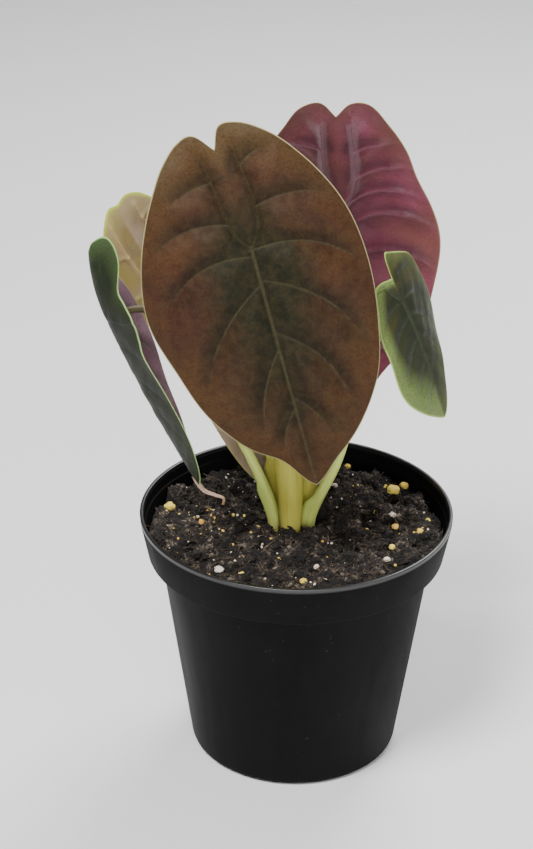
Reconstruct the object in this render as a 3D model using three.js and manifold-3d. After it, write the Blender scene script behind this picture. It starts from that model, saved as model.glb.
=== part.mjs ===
// A potted alocasia: a thin plastic nursery pot, its soil with loose grit, a short stem base,
// and five leaves, each a blade hung on its own stalk.
// Millimetres, +Z up. The origin is the middle of the pot's flat base; -Y is the front.
import * as THREE from 'three';
import Module from 'manifold-3d';
import { mergeVertices } from 'three/addons/utils/BufferGeometryUtils.js';

const wasm = await Module();
wasm.setup();

// ---- driving sizes ----
const SPOKES = 48;            // flats round every turned piece
const CLEARANCE = 0.3;        // gap between pieces that touch

const POT_HEIGHT = 100.4;
const RIM_RADIUS = 60;
const WALL = 1.2;
const BAND_HEIGHT = 16.6;     // the stiff collar under the rim
const BAND_TAPER = 3;         // how much narrower the collar is at its foot
const COLLAR_STEP = 4.6;      // from the collar's foot in to the body
const FOOT_RADIUS = 40.5;
const HEEL_ROUND = 2.5;
const FLOOR = 1.6;            // thickness of the pot's floor
const DRAIN_HOLES = 8;
const DRAIN_RADIUS = 3.5;
const DRAIN_INSET = 3;        // from the foot's edge in to the hole's middle

const SOIL_DROP = 7.4;        // from the rim down to the soil
const SOIL_LUMP = 1.1;        // how far the soil's hollows and humps go
const SOIL_RINGS = 8;

const CROWN_AT = [-1.5, 2];
const CROWN_EDGE = 1.7;       // stem base standing out round the stalks' feet
const CROWN_DEPTH = 22;       // buried part of the stem base
const CROWN_RISE = 2.6;       // part above the soil

const STALK_BASE_RADIUS = 2.9;
const STALK_GAP = 2.6;         // between neighbouring stalks where they leave the stem base
const STALK_END_RADIUS = 1.3;
const JOIN_GAP = 2;           // from the blade's lower side to the stalk's blunt end
const STALK_STEPS = 22;
const STALK_SIDES = 8;

const BLADE_THICKNESS = 0.8;
const BLADE_RINGS = 5;
const BLADE_SPOKES = 36;
const OUTLINE_PULL = 0.3;     // draws the outline's points towards tip and notch
const MIDRIB_ROLL = 6;        // width over which a blade turns from its midrib to its fold

// ---- values worked out from them ----
const BAND_BOTTOM = POT_HEIGHT - BAND_HEIGHT;
const BAND_FOOT_RADIUS = RIM_RADIUS - BAND_TAPER;
const BODY_RADIUS = BAND_FOOT_RADIUS - COLLAR_STEP;
const SOIL_LEVEL = POT_HEIGHT - SOIL_DROP;
const CROWN_TOP = SOIL_LEVEL + CROWN_RISE;
const LEAF_COUNT = 5;
const STALK_SPREAD = (STALK_BASE_RADIUS + STALK_GAP / 2) / Math.sin(Math.PI / LEAF_COUNT);
const CROWN_RADIUS = STALK_SPREAD + STALK_BASE_RADIUS + CROWN_EDGE;

const finish = (name, color, roughness) =>
  Object.assign(new THREE.MeshStandardMaterial({ color, roughness, metalness: 0 }), { name });
const looks = {
  pot: finish('pot_black', 0x141414, 0.45),
  soil: finish('soil_brown', 0x1e1712, 0.95),
  grit: finish('grit_gold', 0xc9a85a, 0.85),
  perlite: finish('perlite_white', 0xd8d4c8, 0.9),
  stalk: finish('stalk_green', 0xb9c070, 0.5),
  copper: finish('blade_copper', 0x5c4029, 0.4),
  wine: finish('blade_wine', 0x6e3442, 0.45),
  tan: finish('blade_tan', 0xa08055, 0.5),
  green: finish('blade_green', 0x39452c, 0.4),
};

const plant = new THREE.Group();
plant.name = 'potted_alocasia';

function add(name, geometry, material) {
  const mesh = new THREE.Mesh(geometry, material);
  mesh.name = name;
  plant.add(mesh);
  return mesh;
}

// ---- closed shapes and cuts ----
function turned(profile, spokes = SPOKES) {
  const points = profile.map(([radius, height]) => new THREE.Vector2(radius, height));
  return new THREE.LatheGeometry(points, spokes).rotateX(Math.PI / 2);
}

function solid(geometry) {
  const bare = geometry.clone();
  bare.deleteAttribute('normal');
  bare.deleteAttribute('uv');
  const merged = mergeVertices(bare, 1e-4);
  const corners = merged.index.array;
  const kept = [];
  for (let i = 0; i < corners.length; i += 3) {
    const [a, b, c] = [corners[i], corners[i + 1], corners[i + 2]];
    if (a !== b && b !== c && c !== a) kept.push(a, b, c);
  }
  const mesh = new wasm.Mesh({
    numProp: 3,
    vertProperties: new Float32Array(merged.attributes.position.array),
    triVerts: new Uint32Array(kept),
  });
  return new wasm.Manifold(mesh);
}

function geometryOf(manifold) {
  const mesh = manifold.getMesh();
  const geometry = new THREE.BufferGeometry();
  geometry.setAttribute('position', new THREE.BufferAttribute(new Float32Array(mesh.vertProperties), 3));
  geometry.setIndex(new THREE.BufferAttribute(new Uint32Array(mesh.triVerts), 1));
  geometry.computeVertexNormals();
  return geometry;
}

// ---- pot ----
function innerRadius(height) {
  if (height >= BAND_BOTTOM) {
    const up = (height - BAND_BOTTOM) / BAND_HEIGHT;
    return BAND_FOOT_RADIUS + BAND_TAPER * up - WALL;
  }
  const up = (height - HEEL_ROUND) / (BAND_BOTTOM - HEEL_ROUND);
  return FOOT_RADIUS + (BODY_RADIUS - FOOT_RADIUS) * up - WALL;
}

function potSolid() {
  const heel = [30, 60].map((degrees) => {
    const turn = THREE.MathUtils.degToRad(degrees);
    return [FOOT_RADIUS - HEEL_ROUND * (1 - Math.sin(turn)), HEEL_ROUND * (1 - Math.cos(turn))];
  });
  let shell = solid(turned([
    [0, 0],
    [FOOT_RADIUS - HEEL_ROUND, 0],
    ...heel,
    [FOOT_RADIUS, HEEL_ROUND],
    [BODY_RADIUS, BAND_BOTTOM],
    [BAND_FOOT_RADIUS, BAND_BOTTOM],
    [RIM_RADIUS, POT_HEIGHT - WALL],
    [RIM_RADIUS - WALL / 4, POT_HEIGHT - WALL / 4],
    [RIM_RADIUS - WALL / 2, POT_HEIGHT],
    [RIM_RADIUS - WALL, POT_HEIGHT],
    [innerRadius(BAND_BOTTOM + WALL), BAND_BOTTOM + WALL],
    [BODY_RADIUS - WALL, BAND_BOTTOM + WALL],
    [FOOT_RADIUS - WALL, FLOOR + HEEL_ROUND],
    [FOOT_RADIUS - WALL - HEEL_ROUND, FLOOR],
    [0, FLOOR],
  ]));
  for (let i = 0; i < DRAIN_HOLES; i += 1) {
    const turn = (2 * Math.PI * (i + 0.5)) / DRAIN_HOLES;
    const drill = new THREE.CylinderGeometry(DRAIN_RADIUS, DRAIN_RADIUS, 4 * FLOOR, 12);
    drill.rotateX(Math.PI / 2);
    const reach = FOOT_RADIUS - DRAIN_INSET - DRAIN_RADIUS;
    drill.translate(reach * Math.cos(turn), reach * Math.sin(turn), FLOOR / 2);
    shell = shell.subtract(solid(drill));
  }
  return shell;
}
add('pot', geometryOf(potSolid()), looks.pot);

// ---- soil ----
function soilHeight(x, y) {
  const waves = Math.sin(x / 7 + 1) * Math.cos(y / 9) + 0.6 * Math.sin((x + y) / 5) * Math.sin(y / 6 + 2);
  return SOIL_LEVEL + (SOIL_LUMP * waves) / 1.6;
}

const SOIL_EDGE = innerRadius(SOIL_LEVEL - SOIL_LUMP) - 2 * CLEARANCE;

function soilSolid() {
  const shelf = BAND_BOTTOM + WALL + CLEARANCE;
  const profile = [
    [0, FLOOR + CLEARANCE],
    [FOOT_RADIUS - WALL - HEEL_ROUND - CLEARANCE, FLOOR + CLEARANCE],
    [FOOT_RADIUS - WALL - 2 * CLEARANCE, FLOOR + HEEL_ROUND + CLEARANCE],
    [BODY_RADIUS - WALL - 2 * CLEARANCE, shelf],
    [innerRadius(shelf) - 2 * CLEARANCE, shelf],
  ];
  const top = SOIL_LEVEL;
  for (let ring = SOIL_RINGS; ring >= 0; ring -= 1) {
    profile.push([(SOIL_EDGE * ring) / SOIL_RINGS, top]);
  }
  const geometry = turned(profile);
  const at = geometry.attributes.position;
  for (let i = 0; i < at.count; i += 1) {
    if (Math.abs(at.getZ(i) - top) < 1e-3) at.setZ(i, soilHeight(at.getX(i), at.getY(i)));
  }
  return solid(geometry);
}

// ---- stem base, in a pocket in the soil ----
function crownGeometry(gap) {
  const bottom = CROWN_TOP - CROWN_RISE - CROWN_DEPTH;
  const wide = CROWN_RADIUS + gap;
  const profile = [
    [0, bottom - gap],
    [0.45 * wide, bottom - gap],
    [0.85 * wide, bottom + 0.3 * CROWN_DEPTH],
    [wide, bottom + 0.7 * CROWN_DEPTH],
    [wide, CROWN_TOP - 1.2 + gap],
    [0.9 * wide, CROWN_TOP + gap],
    [0, CROWN_TOP + gap],
  ];
  return turned(profile, 24).translate(CROWN_AT[0], CROWN_AT[1], 0);
}
add('stem_base', crownGeometry(0), looks.stalk);

// ---- grit bedded in the soil: share of the way out to the wall, direction in degrees, width ----
const GRIT = [
  [0.94, 167, 5.2], [0.66, 180, 3.4], [0.64, 165, 3], [0.99, -175, 2.6],
  [0.97, 67, 3.2], [0.61, 21, 3.6], [0.93, 4, 2.8], [0.70, -3, 3.4],
  [0.87, -7, 3.2], [0.73, -25, 3], [0.77, -86, 3.6], [0.80, -117, 3.2],
  [0.89, 36, 6], [0.99, 37, 4.2],
];
const PERLITE = [
  [0.63, 64, 3], [0.70, 12, 3.8], [0.58, -76, 2.6],
  [0.83, -129, 4], [0.29, -125, 3], [0.78, -37, 3],
];

function grain([share, direction, width], turn, gap) {
  const out = share * (SOIL_EDGE - width / 2 - CLEARANCE);
  const heading = THREE.MathUtils.degToRad(direction);
  const [x, y] = [out * Math.cos(heading), out * Math.sin(heading)];
  const radius = width / 2 + gap;
  const stone = new THREE.IcosahedronGeometry(1, 0);
  stone.scale(radius, 0.8 * radius, 0.7 * radius);
  stone.rotateZ(turn);
  return stone.translate(x, y, soilHeight(x, y) + 0.1 * width);
}

let soil = soilSolid().subtract(solid(crownGeometry(CLEARANCE)));
const kinds = [['grit', GRIT, looks.grit], ['perlite', PERLITE, looks.perlite]];
for (const [kind, places, look] of kinds) {
  places.forEach((place, i) => {
    const turn = 1.3 * i;
    soil = soil.subtract(solid(grain(place, turn, CLEARANCE)));
    add(`${kind}_${i + 1}`, grain(place, turn, 0), look);
  });
}
add('soil', geometryOf(soil), looks.soil);

// ---- leaf blades ----
// Heights here are above the soil.
// at: where the stalk joins, in the blade's middle layer. tip: the way the midrib leaves it.
// up: the upper side. bend: degrees in 100 mm that the front and the back curl to the lower side.
// fold, curl, open: for each half, degrees up from the midrib, then in 100 mm of width, then in
// 100 mm behind the stalk. veer: how far the back of the midrib swings sideways, mm at 100 mm.
// outline: for each half, the distance from the stalk to the margin, tip to notch.
// stalk: the points its stalk passes through.
const LEAVES = {
  front: {
    look: looks.copper,
    at: [-17, -22, 123],
    tip: [0.27, -0.28, -0.9],
    up: [0, -0.9, 0.4],
    bend: [22, 35],
    fold: [6, 6],
    curl: [-60, -60],
    open: [0, 0],
    veer: 25,
    outline: [
      [92, 80, 74, 64, 53, 47, 41, 38, 38, 41, 44, 44, 37],
      [92, 84, 77, 66, 52, 43, 38, 37, 39, 43, 46, 45, 37],
    ],
    stalk: [[-3.5, -5, 32], [-8, -4, 77], [-15, -6, 111]],
  },
  back_right: {
    look: looks.wine,
    at: [16, 44, 116],
    tip: [0.1, 0.22, -0.95],
    up: [0.12, 0.93, 0.3],
    bend: [18, 40],
    fold: [4, 4],
    curl: [-45, -45],
    open: [0, 0],
    veer: 8,
    outline: [
      [94, 80, 70, 60, 48, 40, 34, 32, 36, 42, 49, 49, 42],
      [94, 78, 66, 52, 40, 33, 30, 32, 37, 42, 49, 50, 42],
    ],
    stalk: [[5, 10, 32], [11, 22, 72], [15, 33, 103]],
  },
  back_left: {
    look: looks.tan,
    at: [-51, 24, 90],
    tip: [0.46, -0.05, -0.88],
    up: [-0.25, 0.95, 0.1],
    bend: [6, 30],
    fold: [6, 6],
    curl: [-45, -45],
    open: [0, 0],
    veer: 0,
    outline: [
      [88, 76, 62, 48, 35, 28, 24, 24, 28, 32, 37, 38, 36],
      [88, 79, 54, 30, 20, 19, 18, 20, 22, 27, 32, 36, 36],
    ],
    stalk: [[-11, 6, 32], [-26, 8, 57], [-42, 11, 79]],
  },
  left: {
    look: looks.green,
    at: [-69.3, -11.5, 90.2],
    tip: [0.39, -0.07, -0.92],
    up: [-0.89, -0.36, -0.34],
    bend: [11, 76],
    fold: [-44, -18],
    curl: [-18, -42],
    open: [0, -140],
    veer: 0,
    outline: [
      [73, 66, 54, 40, 31.5, 26, 22.5, 21.5, 22.5, 24.5, 26, 27, 26.5],
      [73, 68, 56, 37.5, 22.5, 18.5, 18.5, 17, 18, 28, 33.5, 31, 26.5],
    ],
    stalk: [
      [-19, -1, 33], [-34, 3, 57], [-45, 3, 75],
      [-51.5, 0.5, 86.5], [-56.5, -4.5, 92], [-62.3, -8.2, 92.9],
    ],
  },
  right: {
    look: looks.green,
    at: [37.3, -5.5, 97],
    tip: [0.41, -0.11, -0.86],
    up: [0.56, -0.69, 0.39],
    bend: [29, 47],
    fold: [14, -24],
    curl: [-55, -58],
    open: [0, 0],
    veer: 0,
    outline: [
      [49.5, 46.5, 42.5, 36, 25, 19.5, 15, 13.5, 13, 11.5, 10, 9.5, 9.2],
      [49.5, 43, 33.5, 29, 26.5, 24.5, 24, 24, 20.5, 19, 18.5, 18, 9.2],
    ],
    stalk: [[15, -4, 30], [24, 1, 62], [30, 2, 82]],
  },
};

// a Catmull-Rom run through a list of values, u from 0 to 1
function along(values, u) {
  const place = THREE.MathUtils.clamp(u, 0, 1) * (values.length - 1);
  const i = Math.min(Math.floor(place), values.length - 2);
  const w = place - i;
  const [a, b] = [values[i], values[i + 1]];
  const slopeA = (b - values[Math.max(i - 1, 0)]) / 2;
  const slopeB = (values[Math.min(i + 2, values.length - 1)] - a) / 2;
  const cubic = 2 * a - 2 * b + slopeA + slopeB;
  const square = -3 * a + 3 * b - 2 * slopeA - slopeB;
  return cubic * w ** 3 + square * w ** 2 + slopeA * w + a;
}

const aboveSoil = ([x, y, z]) => new THREE.Vector3(x, y, SOIL_LEVEL + z);

function axesOf(leaf) {
  const forward = new THREE.Vector3(...leaf.tip).normalize();
  const up = new THREE.Vector3(...leaf.up);
  up.addScaledVector(forward, -up.dot(forward)).normalize();
  const side = new THREE.Vector3().crossVectors(forward, up);
  return { forward, up, side };
}

// a step of x along an arc that starts at an angle and turns by rate: [across, up]
function arcStep(start, rate, x) {
  const turn = Math.abs(rate) < 1e-6 ? 1e-6 : rate;
  const end = start + turn * x;
  return [(Math.sin(end) - Math.sin(start)) / turn, (Math.cos(start) - Math.cos(end)) / turn];
}

// the blade's middle layer and its upper normal, across mm from the midrib and ahead mm of the stalk
function bladePoint(leaf, half, across, ahead) {
  const rad = THREE.MathUtils.degToRad;
  const { forward, up, side } = axesOf(leaf);
  const hand = half === 0 ? 1 : -1;
  const isFront = ahead >= 0;
  const rate = rad(leaf.bend[isFront ? 0 : 1]) / 100;
  const [run, dip] = arcStep(0, rate, Math.abs(ahead));
  const turn = (isFront ? -1 : 1) * rate * Math.abs(ahead);
  const normal = up.clone().multiplyScalar(Math.cos(turn)).addScaledVector(forward, -Math.sin(turn));

  const fold = rad(leaf.fold[half] + (leaf.open[half] * Math.max(-ahead, 0)) / 100);
  const curl = rad(leaf.curl[half]) / 100;
  const inner = Math.min(across, MIDRIB_ROLL);
  const [x1, z1] = arcStep(0, fold / MIDRIB_ROLL + curl, inner);
  const [x2, z2] = arcStep(fold + curl * MIDRIB_ROLL, curl, across - inner);
  const tilt = (fold * inner) / MIDRIB_ROLL + curl * across;
  const veer = isFront ? 0 : leaf.veer * (ahead / 100) ** 2;

  const point = aboveSoil(leaf.at)
    .addScaledVector(forward, Math.sign(ahead) * run)
    .addScaledVector(up, -dip)
    .addScaledVector(side, veer + hand * (x1 + x2))
    .addScaledVector(normal, z1 + z2);
  const face = normal.clone().multiplyScalar(Math.cos(tilt)).addScaledVector(side, -hand * Math.sin(tilt));
  return { point, face };
}

// a thin closed disc, its rings laid on the blade
function bladeGeometry(leaf) {
  const profile = [];
  for (let ring = 0; ring < BLADE_RINGS; ring += 1) profile.push([ring / BLADE_RINGS, -1]);
  profile.push([1, 0]);
  for (let ring = BLADE_RINGS - 1; ring >= 0; ring -= 1) profile.push([ring / BLADE_RINGS, 1]);
  const points = profile.map(([radius, height]) => new THREE.Vector2(radius, height));
  const geometry = new THREE.LatheGeometry(points, BLADE_SPOKES);
  const at = geometry.attributes.position;
  for (let i = 0; i < at.count; i += 1) {
    const [x, layer, z] = [at.getX(i), at.getY(i), at.getZ(i)];
    const spoke = Math.abs(Math.atan2(x, z));
    const half = x > 0 ? 1 : 0;
    const angle = spoke - OUTLINE_PULL * Math.sin(2 * spoke);
    const reach = Math.hypot(x, z) * along(leaf.outline[half], spoke / Math.PI);
    const { point, face } = bladePoint(leaf, half, reach * Math.abs(Math.sin(angle)), reach * Math.cos(angle));
    point.addScaledVector(face, (layer * BLADE_THICKNESS) / 2);
    at.setXYZ(i, point.x, point.y, point.z);
  }
  geometry.computeVertexNormals();
  return geometry;
}

// ---- stalks: from the stem base to just under the blade ----
function stalkPath(leaf, foot) {
  const { up } = axesOf(leaf);
  const below = (distance) => aboveSoil(leaf.at).addScaledVector(up, -distance);
  const start = new THREE.Vector3(foot[0], foot[1], CROWN_TOP + CLEARANCE);
  return new THREE.CatmullRomCurve3([
    start,
    start.clone().add(new THREE.Vector3(0, 0, 6)),
    ...leaf.stalk.map(aboveSoil),
    below(6),
    below(BLADE_THICKNESS / 2 + JOIN_GAP),
  ], false, 'centripetal');
}

function stalkGeometry(leaf, foot) {
  const path = stalkPath(leaf, foot);
  const section = new THREE.Shape();
  for (let i = 0; i < STALK_SIDES; i += 1) {
    const turn = (2 * Math.PI * i) / STALK_SIDES;
    const corner = [Math.cos(turn), Math.sin(turn)];
    if (i === 0) section.moveTo(...corner);
    else section.lineTo(...corner);
  }
  const geometry = new THREE.ExtrudeGeometry(section, { steps: STALK_STEPS, extrudePath: path });
  const spine = path.getSpacedPoints(STALK_STEPS);
  const at = geometry.attributes.position;
  const corner = new THREE.Vector3();
  for (let i = 0; i < at.count; i += 1) {
    corner.fromBufferAttribute(at, i);
    let step = 0;
    spine.forEach((point, n) => {
      if (point.distanceTo(corner) < spine[step].distanceTo(corner)) step = n;
    });
    const radius = THREE.MathUtils.lerp(STALK_BASE_RADIUS, STALK_END_RADIUS, step / STALK_STEPS);
    corner.sub(spine[step]).multiplyScalar(radius).add(spine[step]);
    at.setXYZ(i, corner.x, corner.y, corner.z);
  }
  geometry.computeVertexNormals();
  return geometry;
}

// the stalks' feet stand round the crown, in the order their leaves are met going round
const FEET = { front: 265, right: 337, back_right: 49, back_left: 121, left: 193 };

for (const [name, leaf] of Object.entries(LEAVES)) {
  const turn = THREE.MathUtils.degToRad(FEET[name]);
  const foot = [CROWN_AT[0] + STALK_SPREAD * Math.cos(turn), CROWN_AT[1] + STALK_SPREAD * Math.sin(turn)];
  add(`leaf_${name}`, bladeGeometry(leaf), leaf.look);
  add(`stalk_${name}`, stalkGeometry(leaf, foot), looks.stalk);
}

export default plant;
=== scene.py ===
"""A potted alocasia: finer blades, stalks, pot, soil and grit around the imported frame.

Shapes are worked out in millimetres, with heights above the pot's base, and scaled to metres
when a mesh is made. -Y is the front.
"""
import math

import bmesh
import bpy
import numpy as np
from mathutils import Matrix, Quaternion, Vector


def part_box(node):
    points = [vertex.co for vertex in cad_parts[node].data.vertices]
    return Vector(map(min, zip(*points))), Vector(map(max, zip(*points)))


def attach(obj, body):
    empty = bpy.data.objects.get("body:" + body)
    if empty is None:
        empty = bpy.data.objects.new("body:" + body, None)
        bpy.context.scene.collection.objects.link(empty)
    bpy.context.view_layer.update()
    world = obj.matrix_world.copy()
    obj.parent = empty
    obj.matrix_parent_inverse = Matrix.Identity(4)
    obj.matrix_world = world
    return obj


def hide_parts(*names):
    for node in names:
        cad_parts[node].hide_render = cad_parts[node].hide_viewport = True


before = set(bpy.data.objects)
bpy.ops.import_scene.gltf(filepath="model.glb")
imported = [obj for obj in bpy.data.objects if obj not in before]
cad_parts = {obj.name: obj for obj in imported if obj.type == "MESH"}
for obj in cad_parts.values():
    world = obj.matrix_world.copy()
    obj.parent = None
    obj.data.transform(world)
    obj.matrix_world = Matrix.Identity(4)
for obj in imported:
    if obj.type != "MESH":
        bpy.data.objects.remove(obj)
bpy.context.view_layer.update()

MM = 0.001
BODY = "root"

# ---- sizes shared with the frame's nodes ----
POT_LOW, POT_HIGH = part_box("pot")
POT_HEIGHT = POT_HIGH[2] / MM
RIM_RADIUS = POT_HIGH[0] / MM
WALL = 1.2
BAND_HEIGHT = 16.6
BAND_TAPER = 3.0
COLLAR_STEP = 4.6
FOOT_RADIUS = 40.5
HEEL_ROUND = 2.5
FLOOR_THICKNESS = 1.6
DRAIN_HOLES = 8
DRAIN_RADIUS = 3.5
DRAIN_INSET = 3.0
BAND_BOTTOM = POT_HEIGHT - BAND_HEIGHT
BAND_FOOT_RADIUS = RIM_RADIUS - BAND_TAPER
BODY_RADIUS = BAND_FOOT_RADIUS - COLLAR_STEP
SOIL_DROP = 7.4
SOIL_LEVEL = POT_HEIGHT - SOIL_DROP
CROWN = (-1.5, 2.0)
STALK_SPREAD = 7.15
OUTLINE_PULL = 0.3
MIDRIB_ROLL = 6.0
BLADE_THICKNESS = 0.5
BLADE_RINGS = 104
BLADE_SPOKES = 340
VEIN_SWELL = 4.6        # mm from a side vein over which the blade rises
RIB_SWELL = 5.0         # the same from a rib
WELD = 0.000002         # metres within which a turned shape's points are joined
GRAIN_LIFT = 0.0003     # metres that a grain stands above its node

# ---- blades ----
# Heights are above the soil. at: where the stalk joins. tip: the way the midrib leaves it.
# up: the upper side. bend: degrees in 100 mm that the front and the back curl to the lower side.
# fold, curl, open: for each half, degrees up from the midrib, then in 100 mm of width, then in
# 100 mm behind the stalk. veer: how far the back of the midrib swings sideways, mm at 100 mm.
# outline: for each half, the distance from the stalk to the margin, tip to notch.
# stalk: the points its stalk passes through. foot: its direction round the stem base, degrees.
# relief and wave: mm that it swells between veins and ripples at the margin. rim: mm of pale edge.
# spot, side_veins, lobe_band: how strongly those marks show. pale_half: the half with a pale band.
LEAVES = {
    "front": dict(
        at=(-17, -22, 123), tip=(0.27, -0.28, -0.9), up=(0, -0.9, 0.4),
        bend=(22, 35), fold=(6, 6), curl=(-60, -60), open=(0, 0), veer=25,
        outline=(
            (92, 80, 74, 64, 53, 47, 41, 38, 38, 41, 44, 44, 37),
            (92, 84, 77, 66, 52, 43, 38, 37, 39, 43, 46, 45, 37),
        ),
        stalk=((-3.5, -5, 32), (-8, -4, 77), (-15, -6, 111)), foot=265,
        relief=1.8, wave=0.7, seed=3, spot=1.0, rim=1.1,
    ),
    "back_right": dict(
        at=(16, 44, 116), tip=(0.1, 0.22, -0.95), up=(0.12, 0.93, 0.3),
        bend=(18, 40), fold=(4, 4), curl=(-45, -45), open=(0, 0), veer=8,
        outline=(
            (94, 80, 70, 60, 48, 40, 34, 32, 36, 42, 49, 49, 42),
            (94, 78, 66, 52, 40, 33, 30, 32, 37, 42, 49, 50, 42),
        ),
        stalk=((5, 10, 32), (11, 22, 72), (15, 33, 103)), foot=49,
        relief=1.4, wave=0.5, seed=7,
    ),
    "back_left": dict(
        at=(-51, 24, 90), tip=(0.475, -0.05, -0.87), up=(-0.25, 0.95, 0.1),
        bend=(6, 30), fold=(6, 6), curl=(-45, -45), open=(0, 0), veer=0,
        outline=(
            (97, 82, 64, 48, 35, 28, 24, 24, 28, 32, 37, 38, 36),
            (97, 82, 40, 23, 18, 18, 18, 20, 22, 27, 32, 36, 36),
        ),
        stalk=((-11, 6, 32), (-26, 8, 57), (-42, 11, 79)), foot=121,
        relief=1.2, wave=0.6, seed=11, rim=3.0,
    ),
    "left": dict(
        at=(-69.3, -11.5, 90.2), tip=(0.39, -0.07, -0.92), up=(-0.89, -0.36, -0.34),
        bend=(11, 76), fold=(-44, -18), curl=(-18, -42), open=(0, -140), veer=0,
        outline=(
            (73, 66, 54, 40, 31.5, 26, 22.5, 21.5, 22.5, 24.5, 26, 27, 26.5),
            (73, 68, 56, 37.5, 22.5, 18.5, 18.5, 17, 18, 28, 33.5, 31, 26.5),
        ),
        stalk=(
            (-19, -1, 33), (-34, 3, 57), (-45, 3, 75),
            (-51.5, 0.5, 86.5), (-56.5, -4.5, 92), (-62.3, -8.2, 92.9),
        ),
        foot=193, relief=0.35, wave=0.4, seed=17, rim=1.4, side_veins=0.55,
    ),
    "right": dict(
        at=(37.3, -5.5, 97), tip=(0.41, -0.11, -0.86), up=(0.56, -0.69, 0.39),
        bend=(29, 47), fold=(14, -24), curl=(-55, -58), open=(0, 0), veer=0,
        outline=(
            (49.5, 46.5, 42.5, 36, 25, 19.5, 15, 13.5, 13, 11.5, 10, 9.5, 9.2),
            (49.5, 43, 33.5, 29, 26.5, 24.5, 24, 24, 20.5, 19, 18.5, 18, 9.2),
        ),
        stalk=((15, -4, 30), (24, 1, 62), (30, 2, 82)), foot=337,
        relief=0.6, wave=0.5, seed=23, rim=1.7, pale_half=0, lobe_band=0.2, rings=70, spokes=240,
    ),
}


# ---- meshes ----
def placed(name, data):
    """A new object for the data, in the scene."""
    made = bpy.data.objects.new(name, data)
    bpy.context.scene.collection.objects.link(made)
    return made


def keep(name, mesh, nodes=(), materials=()):
    """Puts a finished mesh in the scene, on the root body, standing for the nodes it replaces."""
    for material in materials:
        mesh.materials.append(material)
    piece = placed(name, mesh)
    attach(piece, BODY)
    if nodes:
        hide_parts(*nodes)
    return piece


def mesh_of(name, points_mm, faces):
    mesh = bpy.data.meshes.new(name)
    mesh.from_pydata([tuple(p) for p in np.asarray(points_mm) * MM], [], faces)
    mesh.validate()
    mesh.update()
    mesh.polygons.foreach_set("use_smooth", [True] * len(mesh.polygons))
    return mesh


def band_faces(first, second, count):
    """Quads between two rings, each given by the number of its first point."""
    pairs = [(i, (i + 1) % count) for i in range(count)]
    return [(first + i, first + k, second + k, second + i) for i, k in pairs]


def fan_faces(hub, ring, count, flip=False):
    """Triangles between one point and a ring."""
    faces = [(hub, ring + (i + 1) % count, ring + i) for i in range(count)]
    return [face[::-1] for face in faces] if flip else faces


def baked(piece):
    """The piece's mesh with its modifiers worked in."""
    graph = bpy.context.evaluated_depsgraph_get()
    return bpy.data.meshes.new_from_object(piece.evaluated_get(graph))


# ---- node trees ----
class Wiring:
    """A small hand for building a node tree."""

    def __init__(self, tree):
        self.tree = tree

    def node(self, kind, inputs=None, **settings):
        made = self.tree.nodes.new(kind)
        for key, value in settings.items():
            setattr(made, key, value)
        for key, value in (inputs or {}).items():
            self.put(made.inputs[key], value)
        return made

    def put(self, socket, value):
        """Links a socket to another or to a node's first output, or else sets its value."""
        if isinstance(value, bpy.types.NodeSocket):
            self.tree.links.new(value, socket)
        elif isinstance(value, bpy.types.Node):
            self.tree.links.new(value.outputs[0], socket)
        else:
            socket.default_value = value

    def sum(self, kind, first, second=0.0, clamp=False):
        made = self.node("ShaderNodeMath", {0: first, 1: second}, operation=kind, use_clamp=clamp)
        return made.outputs[0]


class Growth(Wiring):
    """A Geometry Nodes tree, given the name of its result and the kind of each input."""

    def __init__(self, name, result, **inputs):
        super().__init__(bpy.data.node_groups.new(name, "GeometryNodeTree"))
        sockets = self.tree.interface
        for label, kind in inputs.items():
            sockets.new_socket(label, in_out="INPUT", socket_type=f"NodeSocket{kind}")
        sockets.new_socket(result, in_out="OUTPUT", socket_type="NodeSocketGeometry")
        self.given = self.node("NodeGroupInput").outputs


def grown(name, start, tree, **values):
    """The mesh that a tree makes of a starting mesh. Each input is set by its identifier."""
    carrier = placed(name + "_carrier", start)
    modifier = carrier.modifiers.new("grown", "NODES")
    modifier.node_group = tree
    for item in tree.interface.items_tree:
        if item.in_out == "INPUT" and item.name in values:
            modifier[item.identifier] = values[item.name]
    mesh = baked(carrier)
    bpy.data.objects.remove(carrier)
    mesh.name = name
    return mesh


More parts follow.
